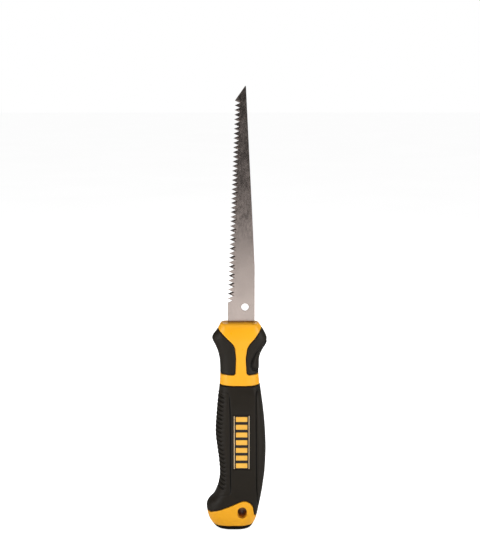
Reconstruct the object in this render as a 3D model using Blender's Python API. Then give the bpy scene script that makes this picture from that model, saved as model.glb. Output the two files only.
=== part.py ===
"""Drywall jab saw: a pointed steel blade held between two plastic handle shells with rubber grips.

The saw stands on its butt, blade up the +Z axis, front face towards -Y and teeth towards -X.
Sizes are in millimetres. Shapes are drawn about the blade's own centre line, and the empty that
carries them moves that line sideways, so that the origin is under the middle of the whole saw.
"""

import math
from bisect import bisect_right

import bmesh
import bpy

MM = 0.001

# ---- Driving dimensions (mm) ------------------------------------------------------------------
GAP = 0.3                     # clearance between separate pieces
HALF_SPLIT = 0.15             # half the clearance between the two handle shells

HANDLE_TOP = 150.2            # top face of the head, where the blade comes out
COLLAR_LOW = 106.35           # lower edge of the bare collar, upper edge of the grip sleeve
PAD_LOW = 114.3               # lower edge of the neck pads
BUTT_PAD_TOP = 4.35           # upper edge of the pad under the butt
RUBBER = 2.3                  # thickness of the rubber over the shells

BLADE_TIP = 313.8
BLADE_THICK = 1.2
FIRST_TOOTH = 303.7           # height of the tooth tip nearest the point
LAST_TOOTH = 161.0            # the edge below this is plain
TOOTH_PITCH = 25.4 / 8        # eight teeth to the inch
TOOTH_DEPTH = 3.5
TIP_X = 4.0
SPINE_AT_FIRST = 4.95         # back of the blade beside the first tooth
SPINE_TAPER = 0.0495          # its drift towards the palm per millimetre down
EDGE_AT_FIRST = -3.15         # line of the tooth tips at the first tooth
EDGE_TAPER = 0.0387           # its drift towards the fingers per millimetre down
BASE_PALM = 10.6              # the plain foot of the blade has parallel sides
BASE_FINGER = -8.2
HANGER_X = 3.84               # punched hole low on the blade
HANGER_Z = 161.0
HANGER_DIAMETER = 5.0

SHOULDER_Z = 147.4            # inside the head the blade steps in to its tang
TANG_END = 94.0
TANG_X = 1.2                  # middle of the tang
TANG_HALF_TOP = 7.0
TANG_HALF_END = 6.0
PIN_DIAMETER = 5.0
PIN_HALF_LENGTH = 6.0
PIN_HEIGHTS = {"upper": 127.0, "lower": 102.0}

HANG_X = 1.9                  # oval hole through the butt
HANG_Z = 15.0
HANG_WIDTH = 6.2
HANG_HEIGHT = 8.0

BADGE_X = 1.5
BADGE_LOW = 47.0
BADGE_HIGH = 86.2
BADGE_WIDTH = 11.4
BADGE_DEPTH = 1.2             # depth of its pocket in the sleeve
BADGE_PLATE = 0.35            # thickness of the plate under the bars
BADGE_SINK = 0.1              # the bars end this far below the sleeve's face
BADGE_MARGIN = 1.2            # bare plate on either side of a bar
BADGE_BARS = 7
BAR_HEIGHT = 3.0

KEY_LEFT = -9.0               # rib of the butt pad that is locked into the shells
KEY_RIGHT = 2.0
KEY_HEIGHT = 3.0
KEY_HALF_DEPTH = 3.0

# ---- Handle envelope: (height, value) knots for smooth curves -----------------------------------
GRIP_FINGER = [(0, -13.4), (1.6, -16.7), (4, -19.0), (8, -21.6), (13, -23.05), (17.4, -23.6),
               (20.4, -22.5), (24.2, -18.8), (28.7, -16.6), (33.1, -14.9), (41, -13.8),
               (51, -14.4), (60, -15.6), (72, -16.8), (86, -16.0), (COLLAR_LOW, -14.1)]
GRIP_PALM = [(0, 5.5), (1.6, 8.2), (4, 9.9), (8.4, 11.85), (17.4, 13.85), (33, 16.65), (46, 18.15),
             (60, 18.65), (73, 18.15), (86, 17.05), (COLLAR_LOW, 14.35)]
GRIP_DEPTH = [(0, 5.4), (1.2, 8.0), (3, 9.8), (6, 11.3), (12, 12.4), (22, 12.6), (90, 12.6),
              (99, 11.5), (COLLAR_LOW, 10.1)]
GRIP_PANEL_LEFT = [(0, -5), (4, -6), (14, -11), (24, -9.5), (33, -7.1), (100, -7.1), (COLLAR_LOW, -5)]
GRIP_PANEL_RIGHT = [(0, -3), (4, -2), (14, 5), (24, 9.5), (33, 11.6), (98, 11.2), (COLLAR_LOW, 6)]

NECK_FINGER = [(COLLAR_LOW, -13.95), (117, -13.6), (123.4, -13.9), (129.9, -15.2), (134.2, -16.95),
               (139.6, -19.2), (145.6, -15.6), (HANDLE_TOP, -13.1)]
NECK_PALM = [(COLLAR_LOW, 14.0), (118, 13.3), (123.4, 13.3), (127.7, 14.1), (132.1, 16.25),
             (136.4, 18.7), (139.2, 19.1), (143.9, 17.3), (HANDLE_TOP, 13.3)]
NECK_DEPTH = [(COLLAR_LOW, 9.5), (118, 9.3), (138, 9.6), (145, 8.9), (148.8, 7.7), (HANDLE_TOP, 6.6)]
NECK_PANEL_LEFT = [(COLLAR_LOW, -2), (125, -2), (138, -5), (HANDLE_TOP, -9)]
NECK_PANEL_RIGHT = [(COLLAR_LOW, 2), (125, 2), (138, 5), (HANDLE_TOP, 9)]
ROUNDNESS = 2.3               # superellipse exponent of the corners of a section

# Wave between the sleeve and the butt: a rising flank, an arc over the hang hole, a drop to the palm
WAVE_FLANK = [(-30.0, 14.3), (-21.8, 14.5), (-18.0, 15.65), (-12.3, 17.5), (-6.0, 20.0), (-0.6, 22.5)]
WAVE_CREST = (3.4, 16.95, 6.6)          # centre x, centre z, radius
WAVE_CREST_ANGLES = (110, 0)
WAVE_DROP = [(10.6, 13.0), (12.2, 11.0), (20.0, 9.0)]

# Inner edge of each neck pad, from its lower corner up and out to beyond the shoulder
PAD_CORNER = 1.7
PAD_EDGE_LEFT = [(-3.0, 130.0), (-3.4, 133.4), (-5.1, 136.6), (-8.95, 140.3), (-15.6, 146.8), (-21.0, 152.4)]
PAD_EDGE_RIGHT = [(5.15, 130.0), (5.75, 133.4), (7.85, 137.0), (10.8, 140.2), (15.4, 146.8), (20.0, 154.0)]

# ---- Resolution -------------------------------------------------------------------------------
CORNER_STEPS = 5              # per quarter of a section
PANEL_STEPS = 2
CURVE_STEPS = 4
ROUND_SIDES = 20

REACH = 40.0                  # cutters run this far past the handle

ORIGIN_SHIFT = -(min(x for _, x in GRIP_FINGER) + max(x for _, x in NECK_PALM)) / 2


# ---- Curves -----------------------------------------------------------------------------------
def smooth_profile(knots):
    """A function that passes smoothly through (position, value) knots without overshoot."""
    places = [place for place, _ in knots]
    values = [value for _, value in knots]
    slopes = [(values[i + 1] - values[i]) / (places[i + 1] - places[i]) for i in range(len(knots) - 1)]
    tangents = [slopes[0]]
    for before, after in zip(slopes, slopes[1:]):
        tangents.append(2 * before * after / (before + after) if before * after > 0 else 0.0)
    tangents.append(slopes[-1])

    def value_at(place):
        place = min(max(place, places[0]), places[-1])
        i = min(bisect_right(places, place), len(places) - 1) - 1
        span = places[i + 1] - places[i]
        u = (place - places[i]) / span
        return ((1 + 2 * u) * (1 - u) ** 2 * values[i] + u * (1 - u) ** 2 * span * tangents[i]
                + u * u * (3 - 2 * u) * values[i + 1] + u * u * (u - 1) * span * tangents[i + 1])

    return value_at


def spline_through(points, steps):
    """Points along a Catmull-Rom curve through the given points."""
    padded = [points[0]] + list(points) + [points[-1]]
    result = []
    for a, b, c, d in zip(padded, padded[1:], padded[2:], padded[3:]):
        for step in range(steps):
            u = step / steps
            result.append(tuple(0.5 * (2 * b[k] + (c[k] - a[k]) * u
                                       + (2 * a[k] - 5 * b[k] + 4 * c[k] - d[k]) * u ** 2
                                       + (3 * b[k] - a[k] - 3 * c[k] + d[k]) * u ** 3) for k in (0, 1)))
    result.append(tuple(points[-1]))
    return result


def arc(centre_x, centre_z, radius, start, end, steps):
    """Points on an arc in the X-Z plane, angles in degrees from +X towards +Z."""
    angles = [math.radians(start + (end - start) * i / steps) for i in range(steps + 1)]
    return [(centre_x + radius * math.cos(a), centre_z + radius * math.sin(a)) for a in angles]


def offset_line(points, distance):
    """An open line moved sideways by a distance, towards the left of its direction."""
    result = []
    for i, (x, z) in enumerate(points):
        x0, z0 = points[max(i - 1, 0)]
        x1, z1 = points[min(i + 1, len(points) - 1)]
        length = math.hypot(x1 - x0, z1 - z0)
        result.append((x - (z1 - z0) / length * distance, z + (x1 - x0) / length * distance))
    return result


# ---- Handle envelope --------------------------------------------------------------------------
class Envelope:
    """The outer skin of a stretch of the handle, as level sections that change with height."""

    def __init__(self, finger, palm, depth, panel_left, panel_right):
        self.finger = smooth_profile(finger)
        self.palm = smooth_profile(palm)
        self.depth = smooth_profile(depth)
        self.panel_left = smooth_profile(panel_left)
        self.panel_right = smooth_profile(panel_right)

    def section(self, z, inset):
        """A flat front and rear panel joined by rounded sides, anticlockwise from the palm side."""
        left = self.finger(z) + inset
        right = self.palm(z) - inset
        depth = self.depth(z) - inset
        panel_left = self.panel_left(z)
        panel_right = self.panel_right(z)
        power = 2 / ROUNDNESS
        corner = [math.radians(90 * i / CORNER_STEPS) for i in range(CORNER_STEPS)]
        turn = [(math.cos(a) ** power, math.sin(a) ** power) for a in corner]
        palm_rear = [(panel_right + (right - panel_right) * c, depth * s) for c, s in turn]
        rear = [(panel_right + (panel_left - panel_right) * i / PANEL_STEPS, depth)
                for i in range(PANEL_STEPS)]
        finger_rear = [(panel_left + (left - panel_left) * s, depth * c) for c, s in turn]
        rear_half = palm_rear + rear + finger_rear
        front_half = [(panel_left + (left - panel_left) * c, -depth * s) for c, s in turn]
        front_half += [(panel_left + (panel_right - panel_left) * i / PANEL_STEPS, -depth)
                       for i in range(PANEL_STEPS)]
        front_half += [(panel_right + (right - panel_right) * s, -depth * c) for c, s in turn]
        return rear_half + front_half


GRIP = Envelope(GRIP_FINGER, GRIP_PALM, GRIP_DEPTH, GRIP_PANEL_LEFT, GRIP_PANEL_RIGHT)
NECK = Envelope(NECK_FINGER, NECK_PALM, NECK_DEPTH, NECK_PANEL_LEFT, NECK_PANEL_RIGHT)
BUTT_LEVELS = [0, 1, 2.4, 4.2, 7, 10, 13.5, 17.4, 20.4, 24, 27.5, 31]
GRIP_LEVELS = [36, 42, 50, 58, 67, 76, 84, 90, 95, 100, 104]
NECK_LEVELS = [112, 118, 123, 127, 130.5, 134, 137, 139.6, 141.6, 144, 146.4, 148.4, 149.5]


def levels_between(low, high, levels):
    """The given levels that lie between two ends, with the ends themselves."""
    return [low] + [z for z in levels if low + 0.4 < z < high - 0.4] + [high]


# ---- Solids -----------------------------------------------------------------------------------
def link_mesh(name, bm, smooth):
    """Turn a bmesh drawn in millimetres into an object in the scene."""
    bmesh.ops.scale(bm, vec=(MM, MM, MM), verts=bm.verts)
    bmesh.ops.recalc_face_normals(bm, faces=bm.faces)
    mesh = bpy.data.meshes.new(name)
    bm.to_mesh(mesh)
    bm.free()
    if smooth:
        mesh.shade_smooth()
        mesh.set_sharp_from_angle(angle=math.radians(30))
    thing = bpy.data.objects.new(name, mesh)
    bpy.context.collection.objects.link(thing)
    thing.parent = carrier
    return thing


def loft(name, envelope, levels, inset=0.0):
    """A closed solid through the envelope's sections at the given levels."""
    bm = bmesh.new()
    rings = [[bm.verts.new((x, y, z)) for x, y in envelope.section(z, inset)] for z in levels]
    for lower, upper in zip(rings, rings[1:]):
        for i in range(len(lower)):
            j = (i + 1) % len(lower)
            bm.faces.new((lower[i], lower[j], upper[j], upper[i]))
    bm.faces.new(reversed(rings[0]))
    bm.faces.new(rings[-1])
    return link_mesh(name, bm, smooth=True)


def slab(name, outline, y_low, y_high):
    """An X-Z outline extruded along Y."""
    bm = bmesh.new()
    face = bm.faces.new([bm.verts.new((x, y_low, z)) for x, z in outline])
    extruded = bmesh.ops.extrude_face_region(bm, geom=[face])
    moved = [item for item in extruded["geom"] if isinstance(item, bmesh.types.BMVert)]
    bmesh.ops.translate(bm, vec=(0, y_high - y_low, 0), verts=moved)
    return link_mesh(name, bm, smooth=False)


def rectangle(x_low, x_high, z_low, z_high):
    return [(x_low, z_low), (x_high, z_low), (x_high, z_high), (x_low, z_high)]


def disc(centre_x, centre_z, diameter):
    return arc(centre_x, centre_z, diameter / 2, 0, 360, ROUND_SIDES)[:-1]


def as_cutter(thing):
    """Mark an object that only shapes others."""
    thing.hide_render = True
    thing.display_type = "WIRE"
    return thing


def shape(thing, operation, *tools):
    """Apply Booleans with one or more other solids, kept as modifiers."""
    for tool in tools:
        modifier = thing.modifiers.new(f"{operation.lower()}_{tool.name}", "BOOLEAN")
        modifier.operation = operation
        modifier.object = as_cutter(tool)
        modifier.solver = "EXACT"
    return thing


def material(name, colour, roughness, metallic=0.0):
    made = bpy.data.materials.new(name)
    made.use_nodes = True
    shader = made.node_tree.nodes["Principled BSDF"]
    shader.inputs["Base Color"].default_value = (*colour, 1.0)
    shader.inputs["Roughness"].default_value = roughness
    shader.inputs["Metallic"].default_value = metallic
    return made


def finish(thing, look):
    thing.data.materials.append(look)
    return thing


# ---- Outlines ---------------------------------------------------------------------------------
def wave_line(clearance):
    """The edge between sleeve and butt, moved up into the sleeve by the clearance."""
    line = spline_through(WAVE_FLANK, CURVE_STEPS)[:-1]
    line += arc(*WAVE_CREST, *WAVE_CREST_ANGLES, steps=3 * CURVE_STEPS)
    line += spline_through(WAVE_DROP, CURVE_STEPS)
    return offset_line(line, clearance)


def below_wave(clearance):
    return wave_line(clearance) + [(REACH, -10), (-REACH, -10)]


def above_wave():
    return wave_line(0.0) + [(REACH, COLLAR_LOW), (-REACH, COLLAR_LOW)]


def pad_outline(side, clearance):
    """A neck pad seen from the front; the outer part runs past the neck's side."""
    edge = PAD_EDGE_LEFT if side < 0 else PAD_EDGE_RIGHT
    inner = edge[0][0]
    turn = (180, 270) if side > 0 else (0, -90)
    corner = arc(inner + side * PAD_CORNER, PAD_LOW + PAD_CORNER, PAD_CORNER, *turn, steps=CURVE_STEPS)
    line = corner[::-1] + spline_through(edge, CURVE_STEPS)
    line = offset_line(line, -side * clearance)
    return [(side * REACH, line[0][1])] + line + [(side * REACH, line[-1][1])]


def edge_x(z):
    """The line of the tooth tips."""
    return EDGE_AT_FIRST - EDGE_TAPER * (FIRST_TOOTH - z)


def tooth_line():
    """Symmetrical triangular teeth from the point down to the plain stretch."""
    line = []
    count = int((FIRST_TOOTH - LAST_TOOTH) / TOOTH_PITCH)
    tip_half, gullet_half = 0.06, 0.12
    for i in range(count):
        tip = FIRST_TOOTH - i * TOOTH_PITCH
        gullet = tip - TOOTH_PITCH / 2
        line.append((edge_x(tip), tip - tip_half))
        for z in (gullet + gullet_half, gullet - gullet_half):
            line.append((edge_x(z) + TOOTH_DEPTH, z))
        line.append((edge_x(tip), tip - TOOTH_PITCH + tip_half))
    return line


def tang_outline(clearance):
    """Tang and shoulders, from the palm-side shoulder round to the finger-side one."""
    top = TANG_HALF_TOP + clearance
    end = TANG_HALF_END + clearance
    right = [(top, SHOULDER_Z - clearance), (end, TANG_END + 3), (end - 3, TANG_END - clearance)]
    left = [(-x, z) for x, z in reversed(right)]
    return [(TANG_X + x, z) for x, z in right + left]


def blade_outline():
    teeth = tooth_line()
    last_z = teeth[-1][1]
    foot_finger = [(BASE_FINGER, last_z - 1.5), (BASE_FINGER, SHOULDER_Z)]
    bend_z = FIRST_TOOTH - (BASE_PALM - SPINE_AT_FIRST) / SPINE_TAPER
    foot_palm = [(BASE_PALM, SHOULDER_Z), (BASE_PALM, bend_z)]
    point = [(TIP_X + 0.4, BLADE_TIP - 0.6), (TIP_X, BLADE_TIP)]
    return point + teeth + foot_finger + tang_outline(0.0)[::-1] + foot_palm


def key_outline(clearance, low):
    """The rib that holds the butt pad, from a given height up into the shells."""
    return rectangle(KEY_LEFT - clearance, KEY_RIGHT + clearance, low, BUTT_PAD_TOP + KEY_HEIGHT + clearance)


def hang_hole_outline():
    """An upright oval: two half circles set apart."""
    stretch = (HANG_HEIGHT - HANG_WIDTH) / 2
    upper = arc(HANG_X, HANG_Z + stretch, HANG_WIDTH / 2, 0, 180, ROUND_SIDES // 2)
    lower = arc(HANG_X, HANG_Z - stretch, HANG_WIDTH / 2, 180, 360, ROUND_SIDES // 2)
    return upper + lower


def blade_pocket_outline():
    """Room for the tang and for the foot of the blade in the head."""
    mouth = HANDLE_TOP + 5
    low = SHOULDER_Z - GAP
    left = BASE_FINGER - GAP
    right = BASE_PALM + GAP
    return [(right, mouth), (right, low)] + tang_outline(GAP) + [(left, low), (left, mouth)]


# ---- Pieces -----------------------------------------------------------------------------------
def make_blade(steel):
    blade = slab("blade", blade_outline(), -BLADE_THICK / 2, BLADE_THICK / 2)
    holes = [slab("cut_hanger_hole", disc(HANGER_X, HANGER_Z, HANGER_DIAMETER), -REACH, REACH)]
    for name, z in PIN_HEIGHTS.items():
        holes.append(slab(f"cut_tang_hole_{name}", disc(TANG_X, z, PIN_DIAMETER + 2 * GAP), -REACH, REACH))
    return finish(shape(blade, "DIFFERENCE", *holes), steel)


def make_pins(steel):
    for name, z in PIN_HEIGHTS.items():
        outline = disc(TANG_X, z, PIN_DIAMETER)
        finish(slab(f"tang_pin_{name}", outline, -PIN_HALF_LENGTH, PIN_HALF_LENGTH), steel)


def make_body(plastic):
    """Head, neck, collar, core and butt as one form, then halved into two shells."""
    butt = loft("form_butt", GRIP, levels_between(BUTT_PAD_TOP, 31, BUTT_LEVELS))
    shape(butt, "DIFFERENCE", slab("cut_sleeve_room", above_wave(), -REACH, REACH))

    neck = loft("form_neck", NECK, levels_between(COLLAR_LOW + GAP / 2, HANDLE_TOP, NECK_LEVELS))
    for name, side in (("left", -1), ("right", 1)):
        room = slab(f"cut_pad_room_{name}", pad_outline(side, 0.0), -REACH, REACH)
        shape(room, "DIFFERENCE", loft(f"form_neck_core_{name}", NECK, [95] + NECK_LEVELS + [160], RUBBER))
        shape(neck, "DIFFERENCE", room)

    pocket = slab("cut_blade_room", blade_pocket_outline(), -BLADE_THICK / 2 - GAP, BLADE_THICK / 2 + GAP)
    sockets = [slab(f"cut_pin_room_{name}", disc(TANG_X, z, PIN_DIAMETER + 2 * GAP),
                    -PIN_HALF_LENGTH - GAP, PIN_HALF_LENGTH + GAP) for name, z in PIN_HEIGHTS.items()]
    hang = slab("cut_hang_hole", hang_hole_outline(), -REACH, REACH)
    key = slab("cut_key_room", key_outline(GAP, -5), -KEY_HALF_DEPTH - GAP, KEY_HALF_DEPTH + GAP)

    for name, low, high in (("front", -REACH, -HALF_SPLIT), ("rear", HALF_SPLIT, REACH)):
        half = slab(f"body_{name}", rectangle(-REACH, REACH, -5, HANDLE_TOP + 5), low, high)
        whole = loft(f"form_body_{name}", GRIP, levels_between(8, 112, BUTT_LEVELS + GRIP_LEVELS), RUBBER)
        shape(whole, "UNION", butt, neck)
        shape(half, "INTERSECT", whole)
        finish(shape(half, "DIFFERENCE", pocket, *sockets, hang, key), plastic)


def make_neck_pads(rubber):
    for name, side in (("left", -1), ("right", 1)):
        pad = slab(f"neck_pad_{name}", pad_outline(side, GAP), -REACH, REACH)
        shape(pad, "INTERSECT", loft(f"form_pad_{name}", NECK, [100] + NECK_LEVELS + [HANDLE_TOP]))
        core = loft(f"cut_pad_core_{name}", NECK, [95] + NECK_LEVELS + [160], RUBBER - GAP)
        finish(shape(pad, "DIFFERENCE", core), rubber)


def make_sleeve(rubber):
    sleeve = loft("grip_sleeve", GRIP, levels_between(8.2, COLLAR_LOW - GAP / 2, BUTT_LEVELS + GRIP_LEVELS))
    core = loft("cut_sleeve_core", GRIP, levels_between(6, 112, BUTT_LEVELS + GRIP_LEVELS), RUBBER - GAP)
    wave = slab("cut_below_wave", below_wave(GAP), -REACH, REACH)
    shape(sleeve, "DIFFERENCE", core, wave)
    for name, side in (("front", -1), ("rear", 1)):
        face = side * GRIP.depth(BADGE_LOW)
        floor = face - side * BADGE_DEPTH
        outline = rectangle(BADGE_X - BADGE_WIDTH / 2 - GAP, BADGE_X + BADGE_WIDTH / 2 + GAP,
                            BADGE_LOW - GAP, BADGE_HIGH + GAP)
        room = slab(f"cut_badge_room_{name}", outline, *sorted((floor, face + side * 5)))
        shape(sleeve, "DIFFERENCE", room)
    return finish(sleeve, rubber)


def make_badges(plastic):
    """A thin plate with a row of raised bars, let into each face of the sleeve."""
    half_width = BADGE_WIDTH / 2
    pitch = (BADGE_HIGH - BADGE_LOW) / BADGE_BARS
    for name, side in (("front", -1), ("rear", 1)):
        face = side * (GRIP.depth(BADGE_LOW) - BADGE_SINK)
        floor = side * (GRIP.depth(BADGE_LOW) - BADGE_DEPTH + GAP)
        outline = rectangle(BADGE_X - half_width, BADGE_X + half_width, BADGE_LOW, BADGE_HIGH)
        plate = slab(f"badge_{name}", outline, *sorted((floor, floor + side * BADGE_PLATE)))
        for i in range(BADGE_BARS):
            z = BADGE_LOW + (i + 0.5) * pitch
            bar_outline = rectangle(BADGE_X - half_width + BADGE_MARGIN, BADGE_X + half_width - BADGE_MARGIN,
                                    z - BAR_HEIGHT / 2, z + BAR_HEIGHT / 2)
            bar = slab(f"form_bar_{name}_{i}", bar_outline, *sorted((floor + side * BADGE_PLATE / 2, face)))
            shape(plate, "UNION", bar)
        finish(plate, plastic)


def make_butt_pad(rubber):
    pad = loft("butt_pad", GRIP, levels_between(0, BUTT_PAD_TOP - GAP, BUTT_LEVELS))
    key = slab("form_key", key_outline(0.0, 1.0), -KEY_HALF_DEPTH, KEY_HALF_DEPTH)
    return finish(shape(pad, "UNION", key), rubber)


for old in list(bpy.data.objects):
    bpy.data.objects.remove(old)

carrier = bpy.data.objects.new("saw", None)
carrier.location = (ORIGIN_SHIFT * MM, 0, 0)
bpy.context.collection.objects.link(carrier)

ground_steel = material("ground_steel", (0.42, 0.38, 0.36), 0.32, 1.0)
yellow_plastic = material("yellow_plastic", (0.95, 0.42, 0.03), 0.38)
black_rubber = material("black_rubber", (0.022, 0.019, 0.016), 0.62)
badge_plastic = material("badge_plastic", (0.85, 0.40, 0.05), 0.45)
bright_steel = material("bright_steel", (0.55, 0.55, 0.55), 0.3, 1.0)

make_blade(ground_steel)
make_pins(bright_steel)
make_body(yellow_plastic)
make_neck_pads(black_rubber)
make_sleeve(black_rubber)
make_badges(badge_plastic)
make_butt_pad(black_rubber)
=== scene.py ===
"""Looks of the drywall saw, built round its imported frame.

Pieces are drawn in millimetres about the blade's centre line, front towards -Y and teeth towards
-X, by the same curves as the CAD part, and are placed by the blade's box in the frame.
"""

import math

import bmesh
import bpy
import numpy as np
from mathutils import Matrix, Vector
from mathutils.geometry import delaunay_2d_cdt


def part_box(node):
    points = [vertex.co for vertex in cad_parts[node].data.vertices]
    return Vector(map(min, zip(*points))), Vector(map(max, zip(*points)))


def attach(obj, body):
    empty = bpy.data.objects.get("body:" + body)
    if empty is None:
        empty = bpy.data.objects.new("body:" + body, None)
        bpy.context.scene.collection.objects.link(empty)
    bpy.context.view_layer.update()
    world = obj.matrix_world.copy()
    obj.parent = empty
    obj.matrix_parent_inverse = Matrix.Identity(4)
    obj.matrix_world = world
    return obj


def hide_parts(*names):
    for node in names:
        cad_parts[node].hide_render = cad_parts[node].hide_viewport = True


MM = 0.001

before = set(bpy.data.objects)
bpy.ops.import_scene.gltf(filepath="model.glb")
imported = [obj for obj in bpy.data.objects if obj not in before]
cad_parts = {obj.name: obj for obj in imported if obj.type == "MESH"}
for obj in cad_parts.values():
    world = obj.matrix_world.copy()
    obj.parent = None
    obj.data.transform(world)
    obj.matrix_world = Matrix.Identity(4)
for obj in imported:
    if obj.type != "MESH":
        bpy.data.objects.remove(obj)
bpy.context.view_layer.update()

# ---- Driving dimensions (mm), as in the part
HANDLE_TOP = 150.2
COLLAR_LOW = 106.35
PAD_LOW = 114.3
BUTT_PAD_TOP = 4.35
RUBBER = 2.3  # thickness of the rubber
SEAM = 0.13  # half of a closed seam
PARTING = 0.05  # half of the gap between the shells
SLOT_GAP = 0.2  # room round the blade and its tang

BLADE_TIP = 313.8
BLADE_HALF = 0.6
FIRST_TOOTH = 303.7
LAST_TOOTH = 161.0
TOOTH_PITCH = 25.4 / 8
TOOTH_DEPTH = 3.5
TOOTH_GRIND = 1.0  # width of a flank's ground facet
TOOTH_SET = 0.22  # sideways bend of the tooth tips
TIP_X = 4.0
TIP_GRIND = 0.7  # the same along the point
SPINE_AT_FIRST = 4.95
SPINE_TAPER = 0.0495
EDGE_AT_FIRST = -3.15
EDGE_TAPER = 0.0387
BASE_PALM = 10.6
BASE_FINGER = -8.2
HANGER = (3.84, 161.0, 5.0)  # punched hole: x, z, diameter
SHOULDER_Z = 147.4
TANG_END = 94.0
TANG_X = 1.2
TANG_HALF_TOP = 7.0
TANG_HALF_END = 6.0
PIN_HEIGHTS = (127.0, 102.0)
PIN_ROOM = 5.6  # diameter of the holes round the pins
PIN_HALF_LENGTH = 6.3

HANG_X = 1.9
HANG_Z = 15.0
HANG_WIDTH = 6.2
HANG_HEIGHT = 8.0

BADGE_X = 1.5
BADGE_LOW = 47.0
BADGE_HIGH = 86.2
BADGE_HALF = 5.7
BADGE_RAIL_X = 5.2
BADGE_BARS = 7

GRIP_FINGER = [
    (0, -13.4), (1.6, -16.7), (4, -19.0), (8, -21.6), (13, -23.05), (17.4, -23.6), (20.4, -22.5),
    (24.2, -18.8), (28.7, -16.6), (33.1, -14.9), (41, -13.8), (51, -14.4), (60, -15.6), (72, -16.8),
    (86, -16.0), (COLLAR_LOW, -14.1)]
GRIP_PALM = [
    (0, 5.5), (1.6, 8.2), (4, 9.9), (8.4, 11.85), (17.4, 13.85), (33, 16.65), (46, 18.15), (60, 18.65),
    (73, 18.15), (86, 17.05), (COLLAR_LOW, 14.35)]
GRIP_DEPTH = [
    (0, 5.4), (1.2, 8.0), (3, 9.8), (6, 11.3), (12, 12.4), (22, 12.6), (90, 12.6), (99, 11.5),
    (COLLAR_LOW, 10.1)]
GRIP_PANEL_LEFT = [(0, -5), (4, -6), (14, -11), (24, -9.5), (33, -7.1), (100, -7.1), (COLLAR_LOW, -5)]
GRIP_PANEL_RIGHT = [(0, -3), (4, -2), (14, 5), (24, 9.5), (33, 11.6), (98, 11.2), (COLLAR_LOW, 6)]
NECK_FINGER = [
    (COLLAR_LOW, -13.95), (117, -13.6), (123.4, -13.9), (129.9, -15.2), (134.2, -16.95), (139.6, -19.2),
    (145.6, -15.6), (HANDLE_TOP, -13.1)]
NECK_PALM = [
    (COLLAR_LOW, 14.0), (118, 13.3), (123.4, 13.3), (127.7, 14.1), (132.1, 16.25), (136.4, 18.7),
    (139.2, 19.1), (143.9, 17.3), (HANDLE_TOP, 13.3)]
NECK_DEPTH = [(COLLAR_LOW, 9.5), (118, 9.3), (138, 9.6), (145, 8.9), (148.8, 7.7), (HANDLE_TOP, 6.6)]
NECK_PANEL_LEFT = [(COLLAR_LOW, -2), (125, -2), (138, -5), (HANDLE_TOP, -9)]
NECK_PANEL_RIGHT = [(COLLAR_LOW, 2), (125, 2), (138, 5), (HANDLE_TOP, 9)]
ROUNDNESS = 2.3

WAVE_FLANK = [(-30.0, 14.3), (-21.8, 14.5), (-18.0, 15.65), (-12.3, 17.5), (-6.0, 20.0), (-0.6, 22.5)]
WAVE_CREST = (3.4, 16.95, 6.6)
WAVE_CREST_ANGLES = (110, 0)
WAVE_DROP = [(10.6, 13.0), (12.2, 11.0), (20.0, 9.0)]
PAD_CORNER = 1.7
PAD_EDGE_LEFT = [
    (-3.0, 130.0), (-3.4, 133.4), (-5.1, 136.6), (-8.95, 140.3), (-15.6, 146.8), (-21.0, 152.4)]
PAD_EDGE_RIGHT = [(5.15, 130.0), (5.75, 133.4), (7.85, 137.0), (10.8, 140.2), (15.4, 146.8), (20.0, 154.0)]

# ---- Moulded detail (mm)
FINGER_GROOVE = [
    (-6.3, 29.8), (-6.35, 45.0), (-6.4, 82.0), (-6.8, 94.0), (-7.1, 100.0), (-7.9, 101.8), (-9.4, 102.5),
    (-12.0, 102.8), (-13.6, 102.8)]
FINGER_GROOVE_FOOT = [(-6.3, 29.8), (-7.6, 28.5), (-10.5, 27.6), (-14.0, 26.6), (-17.3, 25.4)]
PALM_GROOVE = [
    (13.3, 19.0), (12.9, 22.5), (12.5, 28.6), (12.1, 36.0), (11.9, 57.0), (11.65, 85.0), (11.6, 99.0),
    (11.9, 101.6), (12.6, 103.0), (13.6, 103.5), (14.5, 103.5)]
GROOVE_HALF = 0.55
GROOVE_DEPTH = 0.85
GROOVE_FOOT = (24.0, 10.0, 0.25)  # the finger groove fades at its foot: height, reach, least
GROOVE_TOP = (102.0, 5.0, 0.3)  # and at its top
RIB_PITCH = 3.15
RIB_LOW = 33.0
RIB_COUNT = 22
RIB_REACH = 5.4  # how far ribs reach round the side
RIB_FALL = 0.18  # their fall for each millimetre of that
RIB_HALF = 0.5
RIB_DEPTH = 0.75
RIB_SWELL = 0.3
RIB_END = 2.2  # length over which a rib runs out
RIB_STRIP = 1.2  # turn at which the ribbed side stops
NECK_CREASE = [
    (18.9, 137.6), (17.0, 135.4), (14.7, 132.3), (11.6, 129.1), (9.6, 124.9), (8.5, 121.8), (8.9, 119.2),
    (10.4, 117.8), (12.6, 117.3), (13.1, 117.2)]
CREASE_HALF = 0.9
CREASE_DEPTH = 1.0
CREASE_FADE = 1.6  # it runs out over this distance
LOBE_RISE = 0.4
LOBE_EDGE = 1.5

RUBBER_EDGE = 0.7  # rounding of the edges
PLASTIC_EDGE = 0.45
STEP = 0.4  # spacing of points along drawn edges
LONG_STEP = 0.45  # the same along level edges, side runs and grooves
NECK_CORE = (107, 149, 2.0)  # heights of the core's sections
GRIP_CORE = (20.5, 108, 3.0)
BADGE_POCKET = 1.25  # depth in the sleeve
PLATE_DEPTHS = (1.2, 0.45)  # foot and top of the badge's pieces, below the sleeve's face
RAIL_DEPTHS = (0.6, 0.12)
BAR_DEPTHS = (0.6, 0.08)
RAIL_HALF = 0.22
BAR_HALF = (4.0, 1.75)  # half a bar's width and height

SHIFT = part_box("blade")[1][0] / MM - BASE_PALM
BATCH = 1500  # points measured at a time


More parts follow.
